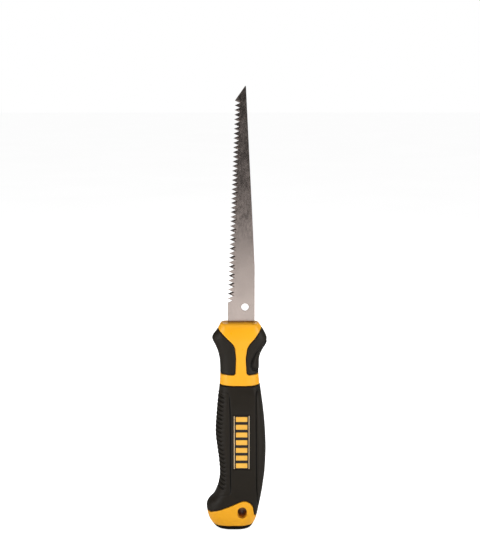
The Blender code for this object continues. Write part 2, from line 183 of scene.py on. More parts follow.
# ---- Curves
def profile(knots):
    """A smooth function through (position, value) knots, without overshoot."""
    places = np.array([place for place, _ in knots], float)
    values = np.array([value for _, value in knots], float)
    slopes = np.diff(values) / np.diff(places)
    product = slopes[:-1] * slopes[1:]
    total = slopes[:-1] + slopes[1:]
    middle = np.where(product > 0, 2 * product / np.where(total == 0, 1, total), 0.0)
    tangents = np.concatenate([slopes[:1], middle, slopes[-1:]])

    def value_at(place):
        place = np.clip(place, places[0], places[-1])
        i = np.clip(np.searchsorted(places, place, side="right") - 1, 0, len(places) - 2)
        span = places[i + 1] - places[i]
        u = (place - places[i]) / span
        return ((1 + 2 * u) * (1 - u) ** 2 * values[i] + u * (1 - u) ** 2 * span * tangents[i]
                + u * u * (3 - 2 * u) * values[i + 1] + u * u * (u - 1) * span * tangents[i + 1])

    return value_at


def spline(points, steps):
    """Points along a Catmull-Rom curve through the given points."""
    padded = [points[0]] + list(points) + [points[-1]]
    result = []
    for a, b, c, d in zip(padded, padded[1:], padded[2:], padded[3:]):
        for step in range(steps):
            u = step / steps
            result.append(tuple(0.5 * (2 * b[k] + (c[k] - a[k]) * u
                                       + (2 * a[k] - 5 * b[k] + 4 * c[k] - d[k]) * u ** 2
                                       + (3 * b[k] - a[k] - 3 * c[k] + d[k]) * u ** 3) for k in (0, 1)))
    result.append(tuple(points[-1]))
    return result


def arc(centre_x, centre_z, radius, start, end, steps):
    angles = np.radians(np.linspace(start, end, steps + 1))
    return [(centre_x + radius * math.cos(a), centre_z + radius * math.sin(a)) for a in angles]


def offset_line(points, distance):
    """An open line moved sideways, towards the left of its direction."""
    line = np.array(points, float)
    along = np.vstack([line[1:2] - line[:1], line[2:] - line[:-2], line[-1:] - line[-2:-1]])
    along /= np.linalg.norm(along, axis=1)[:, None]
    return line + distance * np.stack([-along[:, 1], along[:, 0]], 1)


def run_along(points):
    """The length of a polyline up to each of its points."""
    return np.concatenate([[0], np.cumsum(np.linalg.norm(np.diff(points, axis=0), axis=1))])


def even(points, spacing):
    """A polyline cut again at an even spacing."""
    points = np.asarray(points, float)
    run = run_along(points)
    places = np.linspace(0, run[-1], max(2, int(round(run[-1] / spacing)) + 1))
    return np.stack([np.interp(places, run, points[:, k]) for k in range(points.shape[1])], 1)


def distances(points, lines):
    """Distance of each point to the nearest of the polylines."""
    start = np.vstack([line[:-1] for line in lines])
    span = np.vstack([line[1:] - line[:-1] for line in lines])
    length = np.maximum((span ** 2).sum(1), 1e-12)
    result = np.empty(len(points))
    for low in range(0, len(points), BATCH):
        part = points[low:low + BATCH, None, :]
        u = np.clip(((part - start) * span).sum(2) / length, 0, 1)
        result[low:low + BATCH] = np.sqrt(((part - start - u[..., None] * span) ** 2).sum(2).min(1))
    return result


def inside(points, loop):
    """Whether each point is inside a closed loop."""
    a, b = loop, np.roll(loop, -1, axis=0)
    result = np.zeros(len(points), bool)
    for low in range(0, len(points), BATCH):
        x, y = points[low:low + BATCH, 0:1], points[low:low + BATCH, 1:2]
        spans = (a[:, 1] > y) != (b[:, 1] > y)
        rise = np.where(b[:, 1] == a[:, 1], 1e-12, b[:, 1] - a[:, 1])
        crossing = spans & (x < (b[:, 0] - a[:, 0]) * (y - a[:, 1]) / rise + a[:, 0])
        result[low:low + BATCH] = crossing.sum(1) % 2 == 1
    return result


# ---- Handle shape
class Envelope:
    """The front half of a stretch of the handle. A turn runs from 0 on the finger side, over the
    front panel between 1 and 2, to 3 on the palm side."""

    def __init__(self, reference, *knots):
        self.finger, self.palm, self.depth, self.panel_left, self.panel_right = map(profile, knots)
        self.turns = np.linspace(0, 3, 1801)
        self.runs = run_along(self.level(reference, 0.0, self.turns))

    def level(self, z, inset, turns):
        """The front half of a level section."""
        return self.point(turns, np.full(len(turns), float(z)), inset)

    def point(self, turn, z, inset=0.0):
        """Points in space, moved into the handle by the inset."""
        left, right = self.finger(z) + inset, self.palm(z) - inset
        depth = self.depth(z) - inset
        near, far = self.panel_left(z), self.panel_right(z)
        power = 2 / ROUNDNESS
        first = np.radians(90 * np.clip(turn, 0, 1))
        last = np.radians(90 * np.clip(turn - 2, 0, 1))
        x = np.where(turn < 1, near + (left - near) * np.abs(np.cos(first)) ** power,
                     near + (far - near) * (turn - 1))
        x = np.where(turn > 2, far + (right - far) * np.sin(last) ** power, x)
        y = np.where(turn < 1, np.sin(first) ** power, 1.0)
        y = np.where(turn > 2, np.abs(np.cos(last)) ** power, y)
        y = np.where((turn <= 0) | (turn >= 3), 0.0, y)
        return np.stack([x, -depth * y, z + 0 * x], 1)

    def turn_at(self, x, z):
        """The turn of a point of the front, given as X and Z."""
        left, right = self.finger(z), self.palm(z)
        near, far = self.panel_left(z), self.panel_right(z)
        power = ROUNDNESS / 2
        first = np.degrees(np.arccos(np.clip((x - near) / (left - near), 0, 1) ** power)) / 90
        last = 2 + np.degrees(np.arcsin(np.clip((x - far) / (right - far), 0, 1) ** power)) / 90
        middle = 1 + (x - near) / (far - near)
        return np.where(x < near, first, np.where(x > far, last, middle))

    def flat(self, turn, z):
        """The unrolled plane, nearly true to length."""
        return np.stack([np.interp(turn, self.turns, self.runs), z + 0 * turn], 1)

    def unroll(self, points):
        """Front-view points, given as X and Z, in the unrolled plane."""
        x, z = np.asarray(points, float).T
        return self.flat(self.turn_at(x, z), z)

    def turn_of(self, flat):
        return np.interp(flat[:, 0], self.runs, self.turns)

    def edge(self, height_of, low, high, spacing):
        """Where the front meets a line of heights over X, evenly cut, as (turn, z)."""
        turn = np.linspace(0, 3, 2401)
        for _ in range(2):
            below, above = np.full(len(turn), float(low)), np.full(len(turn), float(high))
            for _ in range(40):
                middle = (below + above) / 2
                over = middle > height_of(self.point(turn, middle)[:, 0])
                below, above = np.where(over, below, middle), np.where(over, middle, above)
            z = (below + above) / 2
            points = self.point(turn, z)
            run = run_along(points)
            if len(turn) == 2401:
                places = np.linspace(0, run[-1], int(run[-1] / spacing) + 1)
                turn = np.interp(places, run, turn)
        return np.stack([turn, z], 1)

    def line(self, knots):
        """A front-view curve as evenly cut points of the unrolled plane."""
        return even(self.unroll(spline(knots, 12)), LONG_STEP)


GRIP = Envelope(60, GRIP_FINGER, GRIP_PALM, GRIP_DEPTH, GRIP_PANEL_LEFT, GRIP_PANEL_RIGHT)
NECK = Envelope(128, NECK_FINGER, NECK_PALM, NECK_DEPTH, NECK_PANEL_LEFT, NECK_PANEL_RIGHT)


# ---- Sheets on the shape
class Loop:
    """A closed boundary in the unrolled plane. An edge is real where it ends the piece, and not
    where it only meets the other half of the piece."""

    def __init__(self, stretches):
        flats, reals = [], []
        for points, real in stretches:
            flats.append(points[:-1])
            reals += [real] * (len(points) - 1)
        self.flat = np.vstack(flats)
        self.real = np.array(reals)

    def lines(self):
        """The real edges, as segments."""
        after = np.roll(self.flat, -1, axis=0)
        return [np.stack([a, b]) for a, b, real in zip(self.flat, after, self.real) if real]


def within(points, loops):
    """Whether each point is inside the first loop and outside the others."""
    keep = inside(points, loops[0])
    for hole in loops[1:]:
        keep &= ~inside(points, hole)
    return keep


def triangulate(loops, extra=()):
    """Triangles over the first loop less the others. The loops' points come first, in order."""
    bounds = np.vstack(loops)
    points = np.vstack([bounds, extra]) if len(extra) else bounds
    edges, start = [], 0
    for loop in loops:
        count = len(loop)
        edges += [(start + i, start + (i + 1) % count) for i in range(count)]
        start += count
    made = delaunay_2d_cdt([Vector(p) for p in points], edges, [], 1, 1e-7)
    origin = [ids[0] if ids else -1 for ids in made[3]]
    faces = np.array([[origin[i] for i in face] for face in made[2]])
    return points, faces[within(points[faces].mean(1), loops)]


def spread(loops, spacing, radius, extra=()):
    """Points to fill a sheet: close rows along real edges, the extra ones, a grid."""
    lines = [line for loop in loops for line in loop.lines()]
    corners = [loop.flat for loop in loops]
    closed = [np.vstack([c, c[:1]]) for c in corners]
    rows = []
    for loop in loops:
        after = np.roll(loop.flat, -1, axis=0)
        along = after - loop.flat
        along /= np.maximum(np.linalg.norm(along, axis=1), 1e-9)[:, None]
        middle = (loop.flat + after) / 2
        for share in (0.1, 0.35, 0.7, 1.1):
            for side in (-1, 1):
                row = middle + side * share * radius * np.stack([-along[:, 1], along[:, 0]], 1)
                row = row[loop.real]
                rows.append(row[distances(row, lines) > 0.93 * share * radius])
    rows = np.vstack(rows)
    low, high = corners[0].min(0), corners[0].max(0)
    xs = np.arange(low[0] + spacing / 2, high[0], spacing)
    zs = np.arange(low[1] + spacing / 2, high[1], spacing)
    grid = np.stack(np.meshgrid(xs, zs), 2).reshape(-1, 2)
    grid = grid[distances(grid, closed) > radius * 1.1 + spacing * 0.4]
    if len(extra):
        extra = extra[distances(extra, closed) > radius * 1.1 + 0.1]
        taken, cells = ((part / spacing * 1.3).astype(int) for part in (extra, grid))
        taken = set(map(tuple, taken))
        grid = grid[[tuple(cell) not in taken for cell in cells]]
        rows = np.vstack([rows, extra])
    points = np.vstack([rows, grid])
    return points[within(points, corners)], lines


def linked(name, data):
    """A new object in the scene."""
    thing = bpy.data.objects.new(name, data)
    bpy.context.collection.objects.link(thing)
    return thing


class Shell:
    """Points and faces in millimetres that become one welded object."""

    def __init__(self):
        self.points, self.faces, self.rims, self.dips, self.slots = [], [], [], [], []
        self.count = 0

    def add(self, points, faces, rim=None, dip=None, slot=0):
        self.points.append(np.asarray(points, float))
        self.faces += [tuple(int(i) + self.count for i in face) for face in faces]
        self.slots += [slot] * len(faces)
        self.rims.append(np.zeros(len(points)) if rim is None else rim)
        self.dips.append(np.zeros(len(points)) if dip is None else dip)
        self.count += len(points)

    def mirror(self):
        """The same again behind the middle plane."""
        count = self.count
        self.points += [p * (1, -1, 1) for p in self.points]
        self.faces += [tuple(i + count for i in reversed(face)) for face in self.faces]
        self.slots += self.slots
        self.rims += self.rims
        self.dips += self.dips
        self.count *= 2

    def build(self, name, sharp=38):
        points = np.vstack(self.points)
        _, first, index = np.unique(np.round(points, 4), axis=0, return_index=True, return_inverse=True)
        index = index.reshape(-1)
        faces, slots, seen = [], [], set()
        for face, slot in zip(self.faces, self.slots):
            ring = [index[i] for i in face]
            ring = [i for k, i in enumerate(ring) if i != ring[k - 1]]
            key = tuple(sorted(ring))
            if len(set(ring)) == len(ring) >= 3 and key not in seen:
                seen.add(key)
                faces.append([int(i) for i in ring])
                slots.append(slot)
        mesh = bpy.data.meshes.new(name)
        mesh.from_pydata(((points[first] + (SHIFT, 0, 0)) * MM).tolist(), [], faces)
        for label, values in (("rim", self.rims), ("dip", self.dips)):
            layer = mesh.attributes.new(label, "FLOAT", "POINT")
            layer.data.foreach_set("value", np.concatenate(values)[first].astype(np.float32))
        mesh.polygons.foreach_set("material_index", slots)
        bm = bmesh.new()
        bm.from_mesh(mesh)
        bmesh.ops.recalc_face_normals(bm, faces=bm.faces)
        bm.to_mesh(mesh)
        bm.free()
        mesh.shade_smooth()
        mesh.set_sharp_from_angle(angle=math.radians(sharp))
        return linked(name, mesh)


def rounding(gap, radius):
    """How far a rounded edge has fallen at a distance from it."""
    short = np.clip(radius - gap, 0, radius)
    return radius - np.sqrt(np.maximum(radius ** 2 - short ** 2, 0))


def skin(shell, shape, loops, spacing, radius, extra=(), relief=None):
    """The outer face of a sheet. Returns the places of the loops' own points, in order."""
    fill, lines = spread(loops, spacing, radius, extra)
    flat, faces = triangulate([loop.flat for loop in loops], fill)
    gap = distances(flat, lines)
    turn, z = shape.turn_of(flat), flat[:, 1]
    inset = rounding(gap, radius)
    dip = np.zeros(len(flat))
    if relief:
        dip = relief(flat, turn, z)
        inset = inset + dip * np.clip(gap / radius, 0, 1)
    points = shape.point(turn, z, inset)
    # The rim layer: nearness to a real edge, faded out just under the handle's top. The looks use it for
    # edge wear and for painted shade along the seams.
    rim = np.clip(1 - gap / (2.2 * radius + 0.5), 0, 1) * np.clip((HANDLE_TOP - 1.5 - z) / 2, 0, 1)
    shell.add(points, faces, rim, dip)
    count = sum(len(loop.flat) for loop in loops)
    return points[:count], turn[:count], z[:count]


def walls(shell, outer, inner, loops, shade_hole_walls=False):
    """Faces between two copies of the loops' points, along the real edges. With the last flag set, the walls
    of holes carry the dip layer, which paints shade on them in the plastic's look."""
    start, faces = 0, []
    total = len(outer)
    for loop in loops:
        count = len(loop.flat)
        for i in range(count):
            if loop.real[i]:
                a, b = start + i, start + (i + 1) % count
                faces.append((b, a, a + total, b + total))
        start += count
    dip = np.zeros(2 * total)
    # Painted shade: the dip layer marks the walls of holes, so that the plastic's look darkens them.
    if shade_hole_walls:
        first = len(loops[0].flat)
        dip[total + first:] = 1.0
    shell.add(np.vstack([outer, inner]), faces, np.concatenate([np.ones(total), np.zeros(total)]), dip)


def rubber_sheet(name, shape, loops, spacing, radius, extra=(), relief=None, pockets=()):
    """A closed sheet of rubber, the same in front and behind. Pockets are loops with a floor."""
    shell = Shell()
    every = list(loops) + [pocket for pocket, _ in pockets]
    outer, turn, z = skin(shell, shape, every, spacing, radius, extra, relief)
    count = sum(len(loop.flat) for loop in loops)
    low = shape.point(turn[:count], z[:count], RUBBER)
    walls(shell, outer[:count], low, loops)
    fill, _ = spread(loops, 2.2, 0.4)
    flat, faces = triangulate([loop.flat for loop in loops], fill)
    shell.add(shape.point(shape.turn_of(flat), flat[:, 1], RUBBER), faces[:, ::-1])
    for pocket, depth in pockets:
        own = slice(count, count + len(pocket.flat))
        floor = shape.point(turn[own], z[own], depth)
        walls(shell, outer[own], floor, [pocket])
        flat, faces = triangulate([pocket.flat])
        shell.add(shape.point(shape.turn_of(flat), flat[:, 1], depth), faces)
        count += len(pocket.flat)
    shell.mirror()
    return shell.build(name)


def solid_front(shell, shape, loops, spacing, radius):
    """A solid between the shape's front and the middle plane."""
    start = len(shell.points)
    outer, _, _ = skin(shell, shape, loops, spacing, radius)
    back = outer * (1, 0, 1) - (0, PARTING, 0)
    # The hang hole's walls get painted shade through the dip layer.
    walls(shell, outer, back, loops, shade_hole_walls=True)
    counts = np.cumsum([0] + [len(loop.flat) for loop in loops])
    rings = [back[a:b][:, [0, 2]] for a, b in zip(counts, counts[1:])]
    flat, faces = triangulate(rings)
    shell.add(np.stack([flat[:, 0], np.full(len(flat), -PARTING), flat[:, 1]], 1), faces[:, ::-1])
    for i in range(start, len(shell.points)):
        shell.points[i][:, 1] = np.minimum(shell.points[i][:, 1], -PARTING)


# ---- Booleans and placing
def finished(bm, name):
    """Makes an object of a bmesh."""
    mesh = bpy.data.meshes.new(name)
    bm.to_mesh(mesh)
    bm.free()
    return linked(name, mesh)


def prism(outline, y_low, y_high):
    """An X-Z outline extruded along Y, as a cutter."""
    bm = bmesh.new()
    near = [bm.verts.new(((x + SHIFT) * MM, y_low * MM, z * MM)) for x, z in outline]
    far = [bm.verts.new(((x + SHIFT) * MM, y_high * MM, z * MM)) for x, z in outline]
    bm.faces.new(near)
    bm.faces.new(reversed(far))
    for i in range(len(near)):
        j = (i + 1) % len(near)
        bm.faces.new((near[j], near[i], far[i], far[j]))
    bmesh.ops.recalc_face_normals(bm, faces=bm.faces)
    return finished(bm, "tool")


def drill(x, z, width, reach, steps):
    """A round cutter across the middle plane."""
    return prism(arc(x, z, width / 2, 0, 360, steps)[:-1], -reach, reach)


def cut(thing, tools, sharp=38):
    """Cuts the tools out of a piece and removes them."""
    for tool in tools:
        modifier = thing.modifiers.new("cut", "BOOLEAN")
        modifier.operation = "DIFFERENCE"
        modifier.solver = "EXACT"
        modifier.object = tool
    graph = bpy.context.evaluated_depsgraph_get()
    mesh = bpy.data.meshes.new_from_object(thing.evaluated_get(graph))
    thing.modifiers.clear()
    thing.data = mesh
    for tool in tools:
        bpy.data.objects.remove(tool)
    mesh.shade_smooth()
    mesh.set_sharp_from_angle(angle=math.radians(sharp))


def settle(thing, nodes, slot, *looks):
    """Gives a piece its materials and its place in the table."""
    for look in looks:
        thing.data.materials.append(look)
    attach(thing, "root")
    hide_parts(*nodes)
    return thing


# ---- Outlines
def wave_height(clearance):
    line = spline(WAVE_FLANK, 24)[:-1] + arc(*WAVE_CREST, *WAVE_CREST_ANGLES, 60) + spline(WAVE_DROP, 16)
    line = offset_line(line, clearance)
    return lambda x: np.interp(x, line[:, 0], line[:, 1])


def upright(shape, turn, low, high):
    """A straight run up or down one side of the half, as unrolled points."""
    heights = np.linspace(low, high, max(2, int(abs(high - low) / LONG_STEP)) + 1)
    return shape.flat(np.full(len(heights), float(turn)), heights)


def pad_edge(side, clearance):
    """The front edge of a neck pad from its lower corner up to the side of the neck."""
    edge = PAD_EDGE_LEFT if side < 0 else PAD_EDGE_RIGHT
    turn = (180, 270) if side > 0 else (0, -90)
    corner = arc(edge[0][0] + side * PAD_CORNER, PAD_LOW + PAD_CORNER, PAD_CORNER, *turn, 10)
    line = offset_line(corner[::-1] + spline(edge, 16), -side * clearance)
    limit = (NECK.finger if side < 0 else NECK.palm)(line[:, 1])
    past = np.argmax(side * (line[:, 0] - limit) > 0)
    before, after = side * (limit - line[:, 0])[past - 1], side * (line[:, 0] - limit)[past]
    top = line[past - 1] + (line[past] - line[past - 1]) * before / (before + after)
    line = np.vstack([line[:past], top])
    flat = NECK.unroll(line)
    flat[-1, 0] = NECK.runs[0 if side < 0 else -1]
    return even(flat, STEP)


def pad_loop(side):
    """A neck pad: its lower edge, up its front edge, down its side."""
    edge = pad_edge(side, SEAM)
    turn = 0 if side < 0 else 3
    base = even([NECK.flat(np.array([float(turn)]), edge[:1, 1])[0], edge[0]], STEP)
    down = upright(NECK, turn, edge[-1, 1], edge[0, 1])
    return Loop([(base, True), (edge, True), (down, False)])


def neck_loop():
    """The bare plastic of head, stem and collar, anticlockwise from its lower finger corner."""
    low = COLLAR_LOW + SEAM
    left, right = pad_edge(-1, -SEAM), pad_edge(1, -SEAM)
    ends = NECK.runs[0], NECK.runs[-1]
    base = even([(ends[0], low), (ends[1], low)], LONG_STEP)
    top = even([(ends[1], HANDLE_TOP), (ends[0], HANDLE_TOP)], LONG_STEP)
    return Loop([
        (base, True),
        (upright(NECK, 3, low, right[0, 1]), False),
        (even([(ends[1], right[0, 1]), right[0]], STEP), True),
        (right, True),
        (upright(NECK, 3, right[-1, 1], HANDLE_TOP), False),
        (top, True),
        (upright(NECK, 0, HANDLE_TOP, left[-1, 1]), False),
        (left[::-1], True),
        (even([left[0], (ends[0], left[0, 1])], STEP), True),
        (upright(NECK, 0, left[0, 1], low), False),
    ])


def hang_loop():
    """The oval hole through the butt."""
    stretch = (HANG_HEIGHT - HANG_WIDTH) / 2
    line = arc(HANG_X, HANG_Z + stretch, HANG_WIDTH / 2, 0, 180, 24)
    line += arc(HANG_X, HANG_Z - stretch, HANG_WIDTH / 2, 180, 360, 24)
    flat = GRIP.unroll(line)
    return Loop([(even(np.vstack([flat, flat[:1]]), STEP), True)])


def butt_loop():
    edge = GRIP.edge(wave_height(-SEAM), 5, 30, STEP)
    low = BUTT_PAD_TOP + SEAM
    base = even([(GRIP.runs[0], low), (GRIP.runs[-1], low)], LONG_STEP)
    return Loop([
        (base, True),
        (upright(GRIP, 3, low, edge[-1, 1]), False),
        (GRIP.flat(edge[::-1, 0], edge[::-1, 1]), True),
        (upright(GRIP, 0, edge[0, 1], low), False),
    ])


def sleeve_loop():
    edge = GRIP.edge(wave_height(SEAM), 5, 30, STEP)
    top = COLLAR_LOW - SEAM
    return Loop([
        (GRIP.flat(edge[:, 0], edge[:, 1]), True),
        (upright(GRIP, 3, edge[-1, 1], top), False),
        (even([(GRIP.runs[-1], top), (GRIP.runs[0], top)], LONG_STEP), True),
        (upright(GRIP, 0, top, edge[0, 1]), False),
    ])


def badge_loop():
    left, right = BADGE_X - BADGE_HALF, BADGE_X + BADGE_HALF
    corners = [(left, BADGE_LOW), (right, BADGE_LOW), (right, BADGE_HIGH), (left, BADGE_HIGH)]
    flat = GRIP.unroll(corners + corners[:1])
    return Loop([(even(flat[i:i + 2], 0.5), True) for i in range(4)])


# ---- Moulded relief
def beside(shape, line, spans=(-0.75, -0.45, -0.2, 0.0, 0.2, 0.45, 0.75)):
    """Rows of points along a front-view line, for the mesh to follow its groove."""
    flat = shape.line(line)
    return np.vstack([offset_line(flat, span) for span in spans])


def dent(gap, half, depth):
    """A groove with a round floor and soft lips."""
    return depth * np.exp(-((gap / half) ** 2))


FINGER_LINES = [GRIP.line(line) for line in (FINGER_GROOVE, FINGER_GROOVE_FOOT)]
PALM_LINE = GRIP.line(PALM_GROOVE)


def sleeve_relief(flat, turn, z):
    """Grooves round two side strips, and slanting ribs on the finger one."""
    low, reach, least = GROOVE_FOOT
    strength = np.clip((z - low) / reach, least, 1)
    high, reach, least = GROOVE_TOP
    strength = strength * np.clip((high - z) / reach, least, 1)
    groove = strength * dent(distances(flat, FINGER_LINES), GROOVE_HALF, GROOVE_DEPTH)
    groove += dent(distances(flat, [PALM_LINE]), GROOVE_HALF, GROOVE_DEPTH)
    aside = GRIP.point(turn, z)[:, 0] - GRIP.finger(z)
    reach = np.clip((RIB_REACH - aside) / RIB_END, 0, 1)
    reach = reach * reach * (3 - 2 * reach) * (turn < RIB_STRIP)
    phase = (z + RIB_FALL * np.clip(aside, 0, RIB_REACH) - RIB_LOW) / RIB_PITCH
    nearest = np.clip(np.round(phase), 0, RIB_COUNT - 1)
    notch = dent((phase - nearest) * RIB_PITCH, RIB_HALF, RIB_DEPTH)
    between = (phase > -0.5) & (phase < RIB_COUNT - 0.5)
    swell = np.where(between, RIB_SWELL * (1 - np.cos(2 * np.pi * phase)) / 2, 0)
    return groove + reach * (notch - swell)


def rib_rows():
    """Close rows that follow the ribs."""
    rows = np.arange(RIB_LOW - 3, RIB_LOW + RIB_PITCH * RIB_COUNT + 2, RIB_PITCH / 10)
    runs = np.arange(0.2, 13.0, 0.5)
    run, row = (grid.ravel() for grid in np.meshgrid(runs, rows))
    aside = GRIP.point(np.interp(run, GRIP.runs, GRIP.turns), row)[:, 0] - GRIP.finger(row)
    return np.stack([run, row - RIB_FALL * np.clip(aside, 0, RIB_REACH)], 1)


CREASE = NECK.line(NECK_CREASE)


def palm_pad_relief(flat, turn, z):
    """A raised lobe round the palm side, cut off by a crease."""
    gap = distances(flat, [CREASE])
    loop = np.vstack([CREASE, [(NECK.runs[-1] + 5, CREASE[-1, 1]), (NECK.runs[-1] + 5, CREASE[0, 1])]])
    lobe = inside(flat, loop) * np.clip(gap / LOBE_EDGE, 0, 1)
    fade = np.clip((NECK.runs[-1] - flat[:, 0]) / CREASE_FADE, 0.15, 1)
    return fade * dent(gap, CREASE_HALF, CREASE_DEPTH) - LOBE_RISE * lobe


# ---- Pieces
def level_loft(shell, rings, slot=0):
    """A closed solid through rings of points at rising heights."""
    count = len(rings[0])
    faces = []
    for k in range(len(rings) - 1):
        for i in range(count):
            j = (i + 1) % count
            faces.append((k * count + i, k * count + j, (k + 1) * count + j, (k + 1) * count + i))
    faces += [tuple(reversed(range(count))), tuple((len(rings) - 1) * count + i for i in range(count))]
    shell.add(np.vstack(rings), faces, slot=slot)


def half_ring(shape, z, inset, turns):
    """The front half of a level section, closed along the middle plane."""
    ring = shape.level(z, inset, turns)
    ring[:, 1] = np.minimum(ring[:, 1], -PARTING)
    return ring


def tang_outline(clearance):
    top, end = TANG_HALF_TOP + clearance, TANG_HALF_END + clearance
    right = [(top, SHOULDER_Z - clearance), (end, TANG_END + 3), (end - 3, TANG_END - clearance)]
    left = [(-x, z) for x, z in reversed(right)]
    return [(TANG_X + x, z) for x, z in right + left]


def body_cutters():
    """Room for the blade's foot and tang and for the pins."""
    low, high = SHOULDER_Z - SLOT_GAP, HANDLE_TOP + 5
    pocket = [(BASE_PALM + SLOT_GAP, high), (BASE_PALM + SLOT_GAP, low)] + tang_outline(SLOT_GAP)
    pocket += [(BASE_FINGER - SLOT_GAP, low), (BASE_FINGER - SLOT_GAP, high)]
    half = BLADE_HALF + SLOT_GAP
    sockets = [drill(TANG_X, z, PIN_ROOM, PIN_HALF_LENGTH, 32) for z in PIN_HEIGHTS]
    return [prism(pocket, -half, half)] + sockets


def join(things):
    """Makes the first of the objects hold them all."""
    with bpy.context.temp_override(active_object=things[0], selected_editable_objects=things):
        bpy.ops.object.join()
    return things[0]


def make_body(plastic):
    """The front shell and its mirror image: head, collar, butt, and the core under the rubber."""
    turns = np.linspace(0, 3, 61)
    for name, side in (("front", -1), ("rear", 1)):
        parts = [Shell() for _ in range(4)]
        solid_front(parts[0], NECK, [neck_loop()], 0.6, PLASTIC_EDGE)
        for part, shape, heights in ((parts[1], NECK, NECK_CORE), (parts[2], GRIP, GRIP_CORE)):
            level_loft(part, [half_ring(shape, z, RUBBER + SEAM, turns) for z in np.arange(*heights)])
        solid_front(parts[3], GRIP, [butt_loop(), hang_loop()], 0.6, PLASTIC_EDGE)
        solids = []
        for shell in parts:
            if side > 0:
                shell.points = [p * (1, -1, 1) for p in shell.points]
            solids.append(shell.build(f"body_{name}_shell"))
        for solid in solids[:3]:
            cut(solid, body_cutters())
        settle(join(solids), [f"body_{name}"], "yellow_plastic", plastic)


def make_pads(rubber):
    for name, side in (("left", -1), ("right", 1)):
        relief, extra = (None, ()) if side < 0 else (palm_pad_relief, beside(NECK, NECK_CREASE))
        loops = [pad_loop(side)]
        pad = rubber_sheet(f"neck_pad_{name}_rubber", NECK, loops, 0.55, RUBBER_EDGE, extra, relief)
        settle(pad, [f"neck_pad_{name}"], "black_rubber", rubber)


def make_sleeve(rubber):
    extra = np.vstack([beside(GRIP, line) for line in (FINGER_GROOVE, FINGER_GROOVE_FOOT, PALM_GROOVE)])
    extra = np.vstack([extra, rib_rows()])
    pockets = [(badge_loop(), BADGE_POCKET)]
    sleeve = rubber_sheet("grip_sleeve_rubber", GRIP, [sleeve_loop()], 0.65, RUBBER_EDGE, extra,
                          sleeve_relief, pockets)
    settle(sleeve, ["grip_sleeve"], "black_rubber", rubber)


def make_butt_pad(rubber):
    shell, turns = Shell(), np.linspace(0, 3, 121)
    top, edge, foot_edge = BUTT_PAD_TOP - SEAM, 0.5, 0.4
    bend = top - edge + edge * np.sin(np.linspace(0, np.pi / 2, 8))
    heights = np.unique(np.concatenate([np.linspace(0, 0.6, 6), np.linspace(0.6, top - edge, 8), bend]))
    fronts = [GRIP.level(z, rounding(top - z, edge) + 0.6 * rounding(z, foot_edge), turns) for z in heights]
    level_loft(shell, [np.vstack([front, front[-2:0:-1] * (1, -1, 1)]) for front in fronts])
    settle(shell.build("butt_pad_rubber"), ["butt_pad"], "black_rubber", rubber)


def rounded_slab(shell, x_range, z_range, y_range, radius, slot, side):
    """A block that stands towards one side, with rounded upper edges and corners."""
    bends = np.linspace(0, np.pi / 2, 5)
    steps = [(y_range[0], 0.0)]
    steps += [(y_range[1] - radius * (1 - math.sin(a)), radius * (1 - math.cos(a))) for a in bends]
    rings = []
    for y, shrink in steps:
        ring = []
        for i, k, start in ((1, 0, -90), (1, 1, 0), (0, 1, 90), (0, 0, 180)):
            x, z = x_range[i] + radius * 1.2 * (1 - 2 * i), z_range[k] + radius * 1.2 * (1 - 2 * k)
            reach = radius * 1.2 - shrink
            ring += [(x + reach * math.cos(a), side * y, z + reach * math.sin(a))
                     for a in np.radians(np.linspace(start, start + 90, 5))]
        rings.append(ring)
    level_loft(shell, rings, slot)


def make_badges(plate_look, bar_look, rail_look):
    """A dark plate with plain bars between two thin rails, let into each face of the sleeve."""
    face = float(GRIP.depth(BADGE_LOW))
    pitch = (BADGE_HIGH - BADGE_LOW) / BADGE_BARS
    blocks = [(BADGE_X, BADGE_HALF - SEAM, BADGE_LOW + SEAM, BADGE_HIGH - SEAM, PLATE_DEPTHS, 0.15, 0)]
    for x in (BADGE_X - BADGE_RAIL_X, BADGE_X + BADGE_RAIL_X):
        blocks.append((x, RAIL_HALF, BADGE_LOW + 0.4, BADGE_HIGH - 0.4, RAIL_DEPTHS, 0.1, 2))
    for i in range(BADGE_BARS):
        z = BADGE_LOW + (i + 0.5) * pitch
        blocks.append((BADGE_X, BAR_HALF[0], z - BAR_HALF[1], z + BAR_HALF[1], BAR_DEPTHS, 0.25, 1))
    for name, side in (("front", -1), ("rear", 1)):
        shell = Shell()
        for x, half, low, high, depths, radius, slot in blocks:
            ys = [face - depth for depth in depths]
            rounded_slab(shell, (x - half, x + half), (low, high), ys, radius, slot, side)
        settle(shell.build(f"badge_{name}_plate"), [f"badge_{name}"], "badge_plastic", plate_look, bar_look,
               rail_look)


def cross(p, direction, q, other):
    """Where two lines meet."""
    p, direction, q, other = (np.asarray(v, float) for v in (p, direction, q, other))
    scale = direction[0] * other[1] - direction[1] * other[0]
    t = ((q - p)[0] * other[1] - (q - p)[1] * other[0]) / scale
    return p + t * direction


def edge_x(z):
    return EDGE_AT_FIRST - EDGE_TAPER * (FIRST_TOOTH - z)


